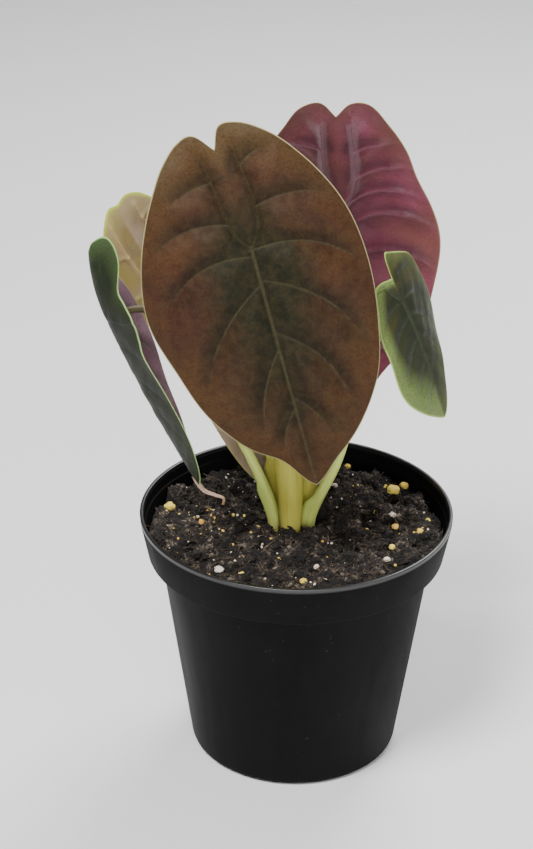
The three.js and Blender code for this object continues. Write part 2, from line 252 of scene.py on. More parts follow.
def turning_tree():
    """A profile spun round the Z axis. Inputs: Profile, Spokes and Material."""
    net = Growth("turning_tree", "Turned", Profile="Geometry", Spokes="Int", Material="Material")
    profile, spokes = net.given["Profile"], net.given["Spokes"]
    size = net.node("GeometryNodeAttributeDomainSize", {"Geometry": profile})
    count = size.outputs["Point Count"]
    columns = net.sum("ADD", spokes, 1.0)
    grid = net.node("GeometryNodeMeshGrid", {"Vertices X": columns, "Vertices Y": count})
    index = net.node("GeometryNodeInputIndex").outputs[0]
    sample = net.node("GeometryNodeSampleIndex", {
        "Geometry": profile, "Value": net.node("GeometryNodeInputPosition"),
        "Index": net.sum("FLOORED_MODULO", index, count),
    }, data_type="FLOAT_VECTOR")
    place = net.node("ShaderNodeSeparateXYZ", {0: sample.outputs["Value"]}).outputs
    spoke = net.sum("FLOOR", net.sum("DIVIDE", index, count))
    angle = net.sum("DIVIDE", net.sum("MULTIPLY", spoke, 2 * math.pi), spokes)
    spun = net.node("ShaderNodeCombineXYZ", {
        "X": net.sum("MULTIPLY", place["X"], net.sum("COSINE", angle)),
        "Y": net.sum("MULTIPLY", place["X"], net.sum("SINE", angle)),
        "Z": place["Z"],
    })
    shift = net.node("GeometryNodeSetPosition", {"Geometry": grid.outputs["Mesh"], "Position": spun})
    join = net.node("GeometryNodeMergeByDistance", {"Geometry": shift, "Distance": WELD})
    real = net.node("GeometryNodeRealizeInstances", {"Geometry": join})
    coat = net.node("GeometryNodeSetMaterial", {"Geometry": real, "Material": net.given["Material"]})
    net.node("NodeGroupOutput", {"Turned": coat})
    return net.tree


def turned(name, profile, spokes, material):
    """A closed turned shape: the profile starts and ends on the axis."""
    line = bpy.data.meshes.new(name + "_profile")
    line.from_pydata([(radius * MM, 0, height * MM) for radius, height in profile],
                     [(i, i + 1) for i in range(len(profile) - 1)], [])
    return grown(name, line, turning_tree(), Spokes=spokes, Material=material)


# ---- materials ----
class Shade(Wiring):
    """The nodes of one material."""

    def __init__(self, name):
        self.material = bpy.data.materials.new(name)
        self.material.use_nodes = True
        super().__init__(self.material.node_tree)
        self.tree.nodes.clear()
        self.coords = self.node("ShaderNodeTexCoord")

    def noise(self, scale, detail=4.0, roughness=0.55, stretch=None, where=None, distortion=0.0):
        place = where or self.coords.outputs["Object"]
        if stretch:
            place = self.node("ShaderNodeMapping", {"Vector": place, "Scale": stretch}).outputs[0]
        return self.node("ShaderNodeTexNoise", {
            "Vector": place, "Scale": scale, "Detail": detail,
            "Roughness": roughness, "Distortion": distortion,
        }).outputs["Fac"]

    def cells(self, scale, where=None):
        place = where or self.coords.outputs["Object"]
        inputs = {"Vector": place, "Scale": scale}
        return self.node("ShaderNodeTexVoronoi", inputs, feature="DISTANCE_TO_EDGE").outputs[0]

    def attribute(self, name):
        return self.node("ShaderNodeAttribute", attribute_name=name)

    def ramp(self, factor, *stops):
        made = self.node("ShaderNodeValToRGB", {"Fac": factor})
        ramp = made.color_ramp
        while len(ramp.elements) < len(stops):
            ramp.elements.new(0.5)
        for element, (place, value) in zip(ramp.elements, stops):
            element.position = place
            element.color = (*value, 1) if isinstance(value, tuple) else (value, value, value, 1)
        return made.outputs["Color"]

    def mix(self, factor, first, second):
        made = self.node("ShaderNodeMix", data_type="RGBA", blend_type="MIX")
        self.put(made.inputs[0], factor)
        for socket, value in ((made.inputs[6], first), (made.inputs[7], second)):
            self.put(socket, (*value, 1) if isinstance(value, tuple) and len(value) == 3 else value)
        return made.outputs[2]

    def bump(self, height, strength, distance, under=None):
        inputs = {"Height": height, "Strength": strength, "Distance": distance}
        if under is not None:
            inputs["Normal"] = under
        return self.node("ShaderNodeBump", inputs).outputs[0]

    def finish(self, **inputs):
        """Ends in a Principled surface; glow is how much light the piece lets through."""
        glow = inputs.pop("glow", None)
        glow_colour = inputs.pop("glow_colour", None)
        surface = self.node("ShaderNodeBsdfPrincipled", inputs)
        last = surface.outputs[0]
        if glow is not None:
            through = self.node("ShaderNodeBsdfTranslucent", {"Color": glow_colour})
            mixed = self.node("ShaderNodeMixShader", {0: glow, 1: last, 2: through})
            last = mixed.outputs[0]
        self.node("ShaderNodeOutputMaterial", {"Surface": last})
        return self.material


def plastic_black():
    shade = Shade("pot_plastic_black")
    mottle = shade.noise(60, detail=6)
    grain = shade.noise(900, detail=3)
    scuffs = shade.noise(35, detail=8, roughness=0.7, stretch=(1, 1, 0.15), distortion=0.6)
    dust = shade.ramp(shade.noise(420, detail=2), (0.70, 0.0), (0.76, 1.0))
    colour = shade.mix(mottle, (0.0030, 0.0030, 0.0032), (0.0055, 0.0055, 0.0058))
    colour = shade.mix(shade.sum("MULTIPLY", dust, 0.25), colour, (0.06, 0.055, 0.05))
    scuffed = shade.ramp(scuffs, (0.35, 0.52), (0.65, 0.68))
    height = shade.node("ShaderNodeSeparateXYZ", {"Vector": shade.coords.outputs["Object"]}).outputs[2]
    shine = shade.ramp(shade.sum("MULTIPLY", height, 5.0), (0.4925, 0.05), (0.4965, 0.8))
    rough = shade.mix(shade.sum("MULTIPLY", shine, 0.9), scuffed, (0.22, 0.22, 0.22))
    normal = shade.bump(grain, 0.12, 0.0002)
    normal = shade.bump(mottle, 0.10, 0.0008, normal)
    return shade.finish(**{
        "Base Color": colour, "Roughness": rough, "Normal": normal, "IOR": 1.49,
        "Specular IOR Level": shine,
    })


def soil_look(name, dark, warm, light):
    shade = Shade(name)
    fine = shade.noise(700, detail=6, roughness=0.7)
    patch = shade.noise(170, detail=6, roughness=0.72)
    colour = shade.ramp(patch, (0.34, dark), (0.52, warm), (0.68, light))
    colour = shade.mix(shade.ramp(fine, (0.35, 0.75), (0.7, 0.0)), colour, (0.004, 0.003, 0.0025))
    normal = shade.bump(fine, 0.8, 0.0006)
    normal = shade.bump(shade.noise(250, detail=4), 0.6, 0.0012, normal)
    return shade.finish(**{"Base Color": colour, "Roughness": 0.92, "Normal": normal})


def stone_look(name, pale, deep, stain):
    shade = Shade(name)
    patch = shade.noise(260, detail=5, roughness=0.65)
    pits = shade.cells(900)
    apart = shade.noise(38, detail=1)
    colour = shade.mix(shade.ramp(apart, (0.38, 0.0), (0.62, 1.0)), pale, deep)
    colour = shade.mix(shade.ramp(shade.noise(480, detail=3), (0.52, 0.0), (0.68, 0.7)), colour, stain)
    normal = shade.bump(patch, 0.7, 0.0006)
    normal = shade.bump(pits, 0.35, 0.0003, normal)
    return shade.finish(**{"Base Color": colour, "Roughness": 0.85, "Normal": normal})


def stalk_look(name, pale, deep, base, end=(0.30, 0.30, 0.08), end_from=0.55):
    """marks: red is the share of the way from soil to blade, green the sheath."""
    shade = Shade(name)
    flat = shade.node("ShaderNodeUVMap", uv_map="flat").outputs[0]
    streaks = shade.noise(1.0, detail=5, stretch=(26, 5, 1), where=flat)
    marks = shade.attribute("marks").outputs["Color"]
    split = shade.node("ShaderNodeSeparateColor", {"Color": marks})
    risen, sheath = split.outputs[0], split.outputs[1]
    colour = shade.mix(shade.ramp(streaks, (0.30, 0.0), (0.74, 0.8)), pale, deep)
    colour = shade.mix(shade.ramp(risen, (0.0, 0.85), (0.09, 0.0)), colour, base)
    colour = shade.mix(shade.ramp(risen, (end_from, 0.0), (end_from + 0.2, 0.9)), colour, end)
    normal = shade.bump(streaks, 0.35, 0.0004)
    glow = shade.ramp(sheath, (0.0, 0.12), (1.0, 0.42))
    return shade.finish(**{
        "Base Color": colour, "Roughness": 0.42, "Normal": normal, "IOR": 1.42,
        "glow": glow, "glow_colour": colour,
    })


# The last colour is a dark one used two ways: painted shade in the hollow above each side vein and along
# the ribs, where shade would fall, and the blade's own dark specks and blotches.
def blade_look(name, body, second, heart, vein, margin, rim, rough, glow, glow_colour, painted_shade_and_speck,
               heart_gain=1.0, halves=False, net_gain=0.12,
               sheen=(1.0, 0.9, 0.8, 1.0), sheen_weight=0.0, shine=0.3, blotchy=0.0,
               shine_tint=(1.0, 1.0, 1.0, 1.0)):
    """marks: red is closeness to a vein, green the dark heart, blue the margin band, alpha the rim."""
    shade = Shade(name)
    flat = shade.node("ShaderNodeUVMap", uv_map="flat").outputs[0]
    marks = shade.attribute("marks")
    split = shade.node("ShaderNodeSeparateColor", {"Color": marks.outputs["Color"]})
    near_vein, dark_heart, band = split.outputs[0], split.outputs[1], split.outputs[2]
    mottle = shade.noise(9, detail=8, roughness=0.66, where=flat)
    cloud = shade.noise(3.1, detail=4, where=flat)
    grain = shade.noise(110, detail=3, roughness=0.6, where=flat)
    if halves:
        place = shade.node("ShaderNodeSeparateXYZ", {"Vector": flat})
        left_half = shade.ramp(shade.sum("ADD", place.outputs[0], 0.5), (0.49, 0.0), (0.53, 1.0))
        behind = shade.ramp(shade.sum("ADD", place.outputs[1], 0.5), (0.52, 1.0), (0.80, 0.0))
        cloud = shade.sum("MULTIPLY", left_half, behind)
    colour = shade.mix(shade.ramp(cloud, (0.38, 0.0), (0.62, 1.0)), body, second)
    colour = shade.mix(shade.ramp(mottle, (0.32, 0.35), (0.56, 0.0)), colour, heart)
    # Painted shade: darkens the hollow above each side vein and along the ribs towards the dark last
    # colour.
    painted_vein_shade = shade.attribute("painted_vein_shade").outputs["Fac"]
    colour = shade.mix(shade.ramp(painted_vein_shade, (0.05, 0.0), (0.9, 0.85)), colour, painted_shade_and_speck)
    uneven = shade.sum("MULTIPLY", dark_heart, shade.ramp(mottle, (0.25, 1.0), (0.75, 0.55)))
    colour = shade.mix(shade.sum("MULTIPLY", uneven, heart_gain, clamp=True), colour, heart)
    patchy = shade.ramp(cloud, (0.3, 0.5), (0.7, 1.0))
    colour = shade.mix(shade.sum("MULTIPLY", band, patchy, clamp=True), colour, margin)
    blotch = shade.noise(30, detail=5, roughness=0.6, where=flat, distortion=0.4)
    colour = shade.mix(shade.ramp(blotch, (0.42, 0.0), (0.64, 0.30 * blotchy)), colour, margin)
    colour = shade.mix(shade.ramp(blotch, (0.34, 0.30 * blotchy), (0.48, 0.0)), colour, painted_shade_and_speck)
    fine = shade.cells(42, where=flat)
    colour = shade.mix(shade.ramp(fine, (0.0, net_gain), (0.06, 0.0)), colour, vein)
    colour = shade.mix(shade.ramp(near_vein, (0.2, 0.0), (0.95, 0.9)), colour, vein)
    colour = shade.mix(shade.ramp(grain, (0.36, 0.36), (0.54, 0.0)), colour, painted_shade_and_speck)
    edge = shade.ramp(marks.outputs["Alpha"], (0.5, 0.0), (0.95, 1.0))
    colour = shade.mix(edge, colour, rim)
    normal = shade.bump(fine, 0.16, 0.0004)
    normal = shade.bump(shade.noise(22, detail=7, roughness=0.62, where=flat), 0.45, 0.0008, normal)
    normal = shade.bump(grain, 0.25, 0.0002, normal)
    gloss = shade.ramp(mottle, (0.3, rough - 0.05), (0.7, rough + 0.10))
    return shade.finish(**{
        "Base Color": colour, "Roughness": gloss, "Normal": normal, "Specular IOR Level": shine,
        "Specular Tint": shine_tint,
        "Sheen Weight": sheen_weight, "Sheen Roughness": 0.45, "Sheen Tint": sheen,
        "glow": shade.mix(edge, (glow, glow, glow), (0.5, 0.5, 0.5)), "glow_colour": glow_colour,
    })


# For each blade look, the last colour is the dark of the painted shade in the vein hollows, also used for
# specks and blotches.
COPPER = blade_look(
    "blade_copper_upper", (0.070, 0.0275, 0.0115), (0.043, 0.0140, 0.0100), (0.0070, 0.0098, 0.0046),
    (0.050, 0.046, 0.023), (0.074, 0.048, 0.017), (0.72, 0.66, 0.34), 0.50, 0.02, (0.5, 0.25, 0.08, 1),
    (0.010, 0.0042, 0.003), shine=0.15, heart_gain=1.5, blotchy=0.7,
    shine_tint=(1.0, 0.86, 0.68, 1.0))
WINE = blade_look(
    "blade_wine_under", (0.270, 0.052, 0.105), (0.170, 0.044, 0.038), (0.100, 0.022, 0.034),
    (0.250, 0.085, 0.120), (0.150, 0.055, 0.035), (0.42, 0.38, 0.14), 0.33, 0.05, (0.6, 0.1, 0.14, 1),
    (0.055, 0.010, 0.022), net_gain=0.06, sheen=(1.0, 0.75, 0.9, 1.0), sheen_weight=0.3, shine=0.5)
TAN = blade_look(
    "blade_tan_under", (0.95, 0.68, 0.66), (0.56, 0.40, 0.11), (0.60, 0.38, 0.26),
    (0.70, 0.74, 0.14), (0.80, 0.66, 0.34), (0.62, 0.90, 0.02), 0.45, 0.66, (1.0, 0.78, 0.60, 1),
    (0.52, 0.34, 0.26), heart_gain=0.15, halves=True, net_gain=0.7)
PURPLE = blade_look(
    "blade_purple_under", (0.150, 0.055, 0.085), (0.34, 0.20, 0.26), (0.060, 0.024, 0.038),
    (0.28, 0.17, 0.21), (0.38, 0.26, 0.30), (0.60, 0.60, 0.40), 0.33, 0.08, (0.5, 0.2, 0.32, 1),
    (0.045, 0.020, 0.030), sheen_weight=0.4, sheen=(0.95, 0.8, 0.95, 1.0), shine=0.5)
GREEN = blade_look(
    "blade_green_upper", (0.011, 0.0135, 0.006), (0.017, 0.019, 0.008), (0.007, 0.009, 0.0045),
    (0.024, 0.030, 0.016), (0.045, 0.075, 0.024), (0.55, 0.80, 0.30), 0.52, 0.03, (0.3, 0.45, 0.1, 1),
    (0.007, 0.009, 0.005), shine=0.16, net_gain=0.02)
OLIVE = blade_look(
    "blade_olive_upper", (0.024, 0.030, 0.008), (0.068, 0.060, 0.014), (0.014, 0.018, 0.007),
    (0.034, 0.046, 0.017), (0.190, 0.270, 0.070), (0.60, 0.84, 0.20), 0.42, 0.05, (0.4, 0.5, 0.1, 1),
    (0.012, 0.015, 0.006), heart_gain=0.8, shine=0.42)
DRIP = stalk_look("drip_cream", (0.72, 0.50, 0.42), (0.55, 0.36, 0.24), (0.30, 0.24, 0.12),
                  end=(0.30, 0.16, 0.08), end_from=0.7)
STALK = stalk_look("stalk_green", (0.66, 0.62, 0.12), (0.50, 0.44, 0.055), (0.50, 0.34, 0.10))
# Painted light: the side stalks use a paler, brighter copy of the stalk colours, lifting them out of the
# shade of the front blade. The left one's copy also ends in a dusky purple.
STALK_PAINTED_LIT = stalk_look("stalk_pale", (0.76, 0.88, 0.24), (0.62, 0.72, 0.14), (0.58, 0.44, 0.14))
STALK_DUSKY = stalk_look("stalk_dusky", (0.76, 0.88, 0.24), (0.62, 0.72, 0.14), (0.58, 0.44, 0.14),
                         end=(0.060, 0.026, 0.034), end_from=0.52)
PLASTIC = plastic_black()
SOIL = soil_look("soil_peat", (0.0022, 0.0018, 0.0014), (0.011, 0.008, 0.006), (0.085, 0.063, 0.046))
CRUMB = soil_look("soil_crumb", (0.003, 0.0024, 0.0018), (0.036, 0.026, 0.019), (0.44, 0.35, 0.27))
FIBRE = soil_look("soil_fibre", (0.030, 0.020, 0.012), (0.11, 0.078, 0.05), (0.34, 0.26, 0.17))
GRIT = stone_look("grit_gold", (0.88, 0.76, 0.13), (0.80, 0.44, 0.09), (0.45, 0.24, 0.05))
PERLITE = stone_look("perlite_white", (0.86, 0.80, 0.70), (0.74, 0.60, 0.46), (0.42, 0.30, 0.20))

SIDES = {
    "front": (COPPER, WINE),
    "back_right": (COPPER, WINE),
    "back_left": (OLIVE, TAN),
    "left": (GREEN, PURPLE),
    "right": (OLIVE, WINE),
}


# ---- blades ----
def along(values, share):
    """A Catmull-Rom run through a list of values, share from 0 to 1."""
    values = np.asarray(values, float)
    last = len(values) - 1
    place = np.clip(share, 0, 1) * last
    i = np.minimum(np.floor(place).astype(int), last - 1)
    w = place - i
    a, b = values[i], values[i + 1]
    slope_a = (b - values[np.maximum(i - 1, 0)]) / 2
    slope_b = (values[np.minimum(i + 2, last)] - a) / 2
    cubic = 2 * a - 2 * b + slope_a + slope_b
    square = -3 * a + 3 * b - 2 * slope_a - slope_b
    return cubic * w**3 + square * w**2 + slope_a * w + a


def unit(v):
    v = np.asarray(v, float)
    return v / np.linalg.norm(v)


def axes_of(leaf):
    forward = unit(leaf["tip"])
    up = np.asarray(leaf["up"], float)
    up = unit(up - forward * np.dot(up, forward))
    return forward, up, np.cross(forward, up)


def above_soil(place):
    return np.array([place[0], place[1], place[2] + SOIL_LEVEL], float)


def arc_step(start, rate, x):
    rate = np.where(np.abs(rate) < 1e-6, 1e-6, rate)
    end = start + rate * x
    return (np.sin(end) - np.sin(start)) / rate, (np.cos(start) - np.cos(end)) / rate


def blade_points(leaf, half, across, ahead):
    """The blade's middle layer and its upper normals."""
    forward, up, side = axes_of(leaf)
    hand = 1 if half == 0 else -1
    is_front = ahead >= 0
    rate = np.radians(np.where(is_front, leaf["bend"][0], leaf["bend"][1])) / 100
    run, dip = arc_step(0.0, rate, np.abs(ahead))
    turn = np.where(is_front, -1, 1) * rate * np.abs(ahead)
    normal = np.cos(turn)[:, None] * up - np.sin(turn)[:, None] * forward

    fold = np.radians(leaf["fold"][half] + leaf["open"][half] * np.maximum(-ahead, 0) / 100)
    curl = np.radians(leaf["curl"][half]) / 100
    inner = np.minimum(across, MIDRIB_ROLL)
    x1, z1 = arc_step(0.0, fold / MIDRIB_ROLL + curl, inner)
    x2, z2 = arc_step(fold + curl * MIDRIB_ROLL, curl, across - inner)
    tilt = fold * inner / MIDRIB_ROLL + curl * across
    veer = np.where(is_front, 0.0, leaf["veer"] * (ahead / 100) ** 2)

    point = (
        above_soil(leaf["at"]) + (np.sign(ahead) * run)[:, None] * forward - dip[:, None] * up
        + (veer + hand * (x1 + x2))[:, None] * side + (z1 + z2)[:, None] * normal
    )
    face = np.cos(tilt)[:, None] * normal - (hand * np.sin(tilt))[:, None] * side
    return point, face


# Side veins of each half. start: mm ahead of the stalk on the midrib, or behind it on the back
# rib if negative. lean: degrees towards the tip as it sets out. turn: degrees more by its end.
# reach: its length.
def both_halves(starts, *courses):
    """The two halves' veins where they differ only in where they start."""
    return tuple(
        tuple((start, *course) for start, course in zip(half, courses)) for half in starts)


VEINS = {
    "front": (
        ((-26, 0, 30, 18), (-10, -18, 65, 34), (3, -14, 85, 44), (13, 30, 48, 48),
         (37, 52, 34, 34), (60, 50, 30, 18)),
        ((-29, -40, 60, 16), (-14, -15, 50, 30), (0.5, -6, 78, 50), (11.6, 20, 66, 51),
         (31, 33, 70, 48), (56, 42, 42, 22)),
    ),
    "back_right": both_halves(
        ((-24, -11, 2, 11, 24, 40, 57), (-25, -10, 1, 12, 26, 42, 59)),
        (-30, 40, 20), (-38, 80, 32), (-45, 108, 42), (-38, 108, 46),
        (-25, 98, 46), (-5, 80, 36), (15, 60, 22)),
    "plain": both_halves(
        ((-26, -13, 1, 13, 29, 46, 63), (-28, -15, 0, 11, 27, 44, 61)),
        (-25, 45, 22), (-15, 55, 32), (-4, 70, 42), (16, 62, 44),
        (28, 58, 42), (36, 48, 32), (44, 36, 20)),
}
RIB_SPREAD = 6.8      # how far each back rib stands from the middle
RIB_BEND = 6.0        # mm behind the stalk over which it swings out to there


def rib_across(behind):
    return RIB_SPREAD * (1 - np.exp(-behind / RIB_BEND)) * (1 - 0.006 * behind)


def vein_path(start, lean, turn, reach, scale):
    share = np.linspace(0, 1, 26)
    heading = np.radians(lean + turn * share**1.15)
    step = reach * scale / 25
    across = np.concatenate([[0], np.cumsum(np.cos(heading[:-1]) * step)])
    ahead = np.concatenate([[0], np.cumsum(np.sin(heading[:-1]) * step)])
    from_rib = rib_across(-start * scale) if start < 0 else 0.0
    return np.stack([across + from_rib, ahead + start * scale], 1)


def near_path(path, across, ahead):
    """For each place: mm to the path, the share along it, and which side it lies on."""
    best = np.full(len(across), 1e9)
    share, side = np.zeros(len(across)), np.zeros(len(across))
    for n in range(len(path) - 1):
        a, run = path[n], path[n + 1] - path[n]
        dx, dy = across - a[0], ahead - a[1]
        part = np.clip((dx * run[0] + dy * run[1]) / (run @ run), 0, 1)
        away = np.hypot(dx - part * run[0], dy - part * run[1])
        closer = away < best
        best[closer] = away[closer]
        share[closer] = ((n + part) / (len(path) - 1))[closer]
        side[closer] = np.sign(run[0] * dy - run[1] * dx)[closer]
    return best, share, side


def vein_fields(name, leaf, half, across, ahead):
    """mm to the nearest side vein, its strength, which side of it, mm to a rib, and the swell."""
    scale = leaf["outline"][half][0] / 92
    swell = np.ones(len(across))
    to_vein = np.full(len(across), 1e3)
    strength, side = np.zeros(len(across)), np.zeros(len(across))
    for start, lean, turn, reach in VEINS.get(name, VEINS["plain"])[half]:
        path = vein_path(start, lean, turn, reach, scale)
        away, share, hand = near_path(path, across, ahead)
        power = np.clip((1.0 - share) / 0.45, 0, 1) ** 0.7
        away = away + 3.0 * np.clip((share - 0.75) / 0.25, 0, 1) ** 2
        swell *= 1 - power * bell(away, VEIN_SWELL)
        closer = away < to_vein
        to_vein[closer], strength[closer], side[closer] = away[closer], power[closer], hand[closer]
    behind = np.linspace(0, leaf["outline"][half][-1] * 0.92, 20)
    back_rib = np.stack([rib_across(behind), -behind], 1)
    to_rib = near_path(back_rib, across, ahead)[0]
    to_rib = np.minimum(np.where(ahead >= 0, across, 1e3), to_rib)
    return to_vein, strength, side, to_rib, swell * (1 - bell(to_rib, RIB_SWELL))


def bell(x, width):
    return np.exp(-((x / width) ** 2))


def blade_mesh(name, leaf, title):
    rings, spokes = leaf.get("rings", BLADE_RINGS), leaf.get("spokes", BLADE_SPOKES)
    rng = np.random.default_rng(leaf["seed"])
    phase = rng.uniform(0, 2 * math.pi, 6)
    spoke = np.linspace(-math.pi, math.pi, spokes, endpoint=False)
    ring = (np.arange(1, rings + 1) / rings) ** 0.92
    turn, share = np.meshgrid(spoke, ring)
    turn = np.append(turn.ravel(), 0.0)
    share = np.append(share.ravel(), 0.0)
    count = len(turn)
    centre, face = np.zeros((count, 3)), np.zeros((count, 3))
    flat, marks = np.zeros((count, 2)), np.zeros((count, 4))
    height, keel, painted_vein_shade = np.zeros(count), np.zeros(count), np.zeros(count)
    for half in (0, 1):
        pick = (turn >= 0) if half == 0 else (turn < 0)
        hand = 1 if half == 0 else -1
        phi, rho = np.abs(turn[pick]), share[pick]
        angle = phi - OUTLINE_PULL * np.sin(2 * phi)
        margin = along(leaf["outline"][half], phi / math.pi)
        reach = rho * margin
        across, ahead = reach * np.abs(np.sin(angle)), reach * np.cos(angle)
        centre[pick], face[pick] = blade_points(leaf, half, across, ahead)
        to_vein, strength, side, to_rib, swell = vein_fields(name, leaf, half, across, ahead)
        outward = np.clip((1 - rho) * margin / 9, 0, 1)
        room = outward**0.8
        in_web = (ahead < 0) & (across < rib_across(np.maximum(-ahead, 0)))
        room = np.where(in_web, 0.3 * room, room)
        rise = leaf["relief"] * room * (swell - 0.45)
        crease = min(leaf["relief"], 1.0)
        rise -= 0.30 * crease * bell(to_vein, 0.8) * strength * room
        rise -= 0.45 * crease * bell(to_rib, 1.2) * np.clip((1 - rho) / 0.1, 0, 1)
        ripple = sum(
            np.sin(across * k + ahead * m + p)
            for k, m, p in ((0.55, 0.22, phase[0]), (0.33, -0.61, phase[1]), (0.9, 0.7, phase[2]))
        )
        rise += 0.05 * ripple * room
        wave = np.sin(5 * phi + hand * phase[3]) + 0.6 * np.sin(9 * phi + hand * phase[4])
        ends = np.clip(phi / 0.5, 0, 1) * np.clip((math.pi - phi) / 0.5, 0, 1)
        rise += leaf["wave"] * wave * rho**5 * ends
        height[pick] = rise
        taper = np.clip(1.1 - reach / margin.max(), 0.15, 1)
        keel[pick] = (1.1 * bell(to_rib, 1.3) * taper + 0.45 * bell(to_vein, 0.8) * strength) * room
        # Painted shade: strongest on the side of each side vein away from the tip, where the swell slopes
        # into shade, and along the ribs; it fades towards the margin.
        tail_side = np.where(side < 0, 1.0, 0.25)
        painted_vein_shade[pick] = np.clip(
            tail_side * strength * bell(to_vein - 1.2, 3.4) + 0.6 * bell(to_rib, 3.4), 0, 1) * outward**0.5
        flat[pick] = np.stack([-hand * across, ahead], 1) / 100
        width = max(leaf["outline"][half][4:9])
        ahead_share = np.clip(ahead, 0, None) / leaf["outline"][half][0]
        spread = width * (0.24 + 0.20 * np.sin(math.pi * np.clip(ahead_share * 1.15, 0, 1)))
        along_midrib = np.where(ahead > 0, bell(across, spread), 0)
        heart = bell(reach, 0.30 * width) + 0.85 * along_midrib * np.clip(1.5 - 1.45 * ahead_share, 0, 1)
        marks[pick, 0] = np.maximum.reduce([
            bell(to_vein, 0.42) * strength * leaf.get("side_veins", 0.75),
            bell(to_rib, 0.5 + 0.35 * taper) * np.where(ahead >= 0, 0.72, 0.45),
            leaf.get("spot", 0.0) * bell(reach, 1.3)])
        marks[pick, 1] = np.clip(heart, 0, 1)
        lobe = np.clip((phi - 0.50 * math.pi) / (0.36 * math.pi), 0, 1) * leaf.get("lobe_band", 1.0)
        band = np.clip((rho - 0.70) / 0.28, 0, 1) * (0.22 + 0.78 * lobe) + 0.25 * lobe * rho
        if leaf.get("pale_half") == half:
            band = np.clip(band + 0.85 * np.clip((rho - 0.60) / 0.25, 0, 1), 0, 1)
        marks[pick, 2] = band
        marks[pick, 3] = np.clip(1 - (1 - rho) * margin / leaf.get("rim", 0.9), 0, 1)
    middle = centre + face * height[:, None]
    edge = np.clip((1 - share) / 0.03, 0, 1)
    thick = BLADE_THICKNESS / 2 * (0.25 + 0.75 * np.sqrt(edge))
    upper = middle + face * thick[:, None]
    lower = middle - face * (thick + keel)[:, None]
    mesh = leaf_shell(title, upper, lower, rings, spokes)
    set_marks(mesh, np.vstack([marks, marks]), np.vstack([flat, flat]))
    # The painted shade goes to the material as a point attribute.
    painted_shade_and_speck = mesh.attributes.new("painted_vein_shade", "FLOAT", "POINT")
    painted_shade_and_speck.data.foreach_set("value", np.concatenate([painted_vein_shade, painted_vein_shade]).astype(np.float32))
    return mesh


def leaf_shell(title, upper, lower, rings, spokes):
    """Closes the two sides into one skin; the lower side has the second material."""
    hub, last = rings * spokes, (rings - 1) * spokes
    top = fan_faces(hub, 0, spokes)
    for start in range(0, last, spokes):
        top += band_faces(start, start + spokes, spokes)
    under = [tuple(hub + 1 + point for point in face[::-1]) for face in top]
    edge = band_faces(last, last + hub + 1, spokes)
    faces = top + under + edge
    sides = [0] * len(top) + [1] * len(under) + [0] * len(edge)
    mesh = mesh_of(title, np.vstack([upper, lower]), faces)
    mesh.polygons.foreach_set("material_index", sides)
    return mesh


def set_marks(mesh, marks, flat):
    colours = mesh.color_attributes.new("marks", "FLOAT_COLOR", "POINT")
    colours.data.foreach_set("color", np.asarray(marks, np.float32).ravel())
    corners = np.zeros(len(mesh.loops), np.int32)
    mesh.loops.foreach_get("vertex_index", corners)
    layer = mesh.uv_layers.new(name="flat")
    layer.data.foreach_set("uv", np.asarray(flat, np.float32)[corners].ravel())


def right_way_out(mesh):
    """Turns the faces outwards if the closed shape's volume comes out negative."""
    body = bmesh.new()
    body.from_mesh(mesh)
    if body.calc_volume(signed=True) < 0:
        bmesh.ops.reverse_faces(body, faces=body.faces[:])
        body.to_mesh(mesh)
    body.free()


for leaf_name, leaf in LEAVES.items():
    blade = blade_mesh(leaf_name, leaf, f"leaf_{leaf_name}_blade")
    right_way_out(blade)
    keep(f"leaf_{leaf_name}_blade", blade, [f"leaf_{leaf_name}"], SIDES[leaf_name])


# ---- stalks ----
def curve_through(points, count):
    """Even steps along a smooth run through the points."""
    points = [np.asarray(p, float) for p in points]
    padded = [2 * points[0] - points[1], *points, 2 * points[-1] - points[-2]]
    run = []
    for i in range(1, len(padded) - 2):
        p0, p1, p2, p3 = padded[i - 1:i + 3]
        k1 = math.sqrt(np.linalg.norm(p1 - p0)) or 1e-3
        k2 = k1 + (math.sqrt(np.linalg.norm(p2 - p1)) or 1e-3)
        k3 = k2 + (math.sqrt(np.linalg.norm(p3 - p2)) or 1e-3)
        for t in np.linspace(k1, k2, 24, endpoint=False):
            a1 = (k1 - t) / k1 * p0 + t / k1 * p1
            a2 = (k2 - t) / (k2 - k1) * p1 + (t - k1) / (k2 - k1) * p2
            a3 = (k3 - t) / (k3 - k2) * p2 + (t - k2) / (k3 - k2) * p3
            b1 = (k2 - t) / k2 * a1 + t / k2 * a2
            b2 = (k3 - t) / (k3 - k1) * a2 + (t - k1) / (k3 - k1) * a3
            run.append((k2 - t) / (k2 - k1) * b1 + (t - k1) / (k2 - k1) * b2)
    run.append(points[-1])
    run = np.array(run)
    steps = np.concatenate([[0], np.cumsum(np.linalg.norm(np.diff(run, axis=0), axis=1))])
    where = np.linspace(0, steps[-1], count)
    return np.stack([np.interp(where, steps, run[:, k]) for k in range(3)], 1)


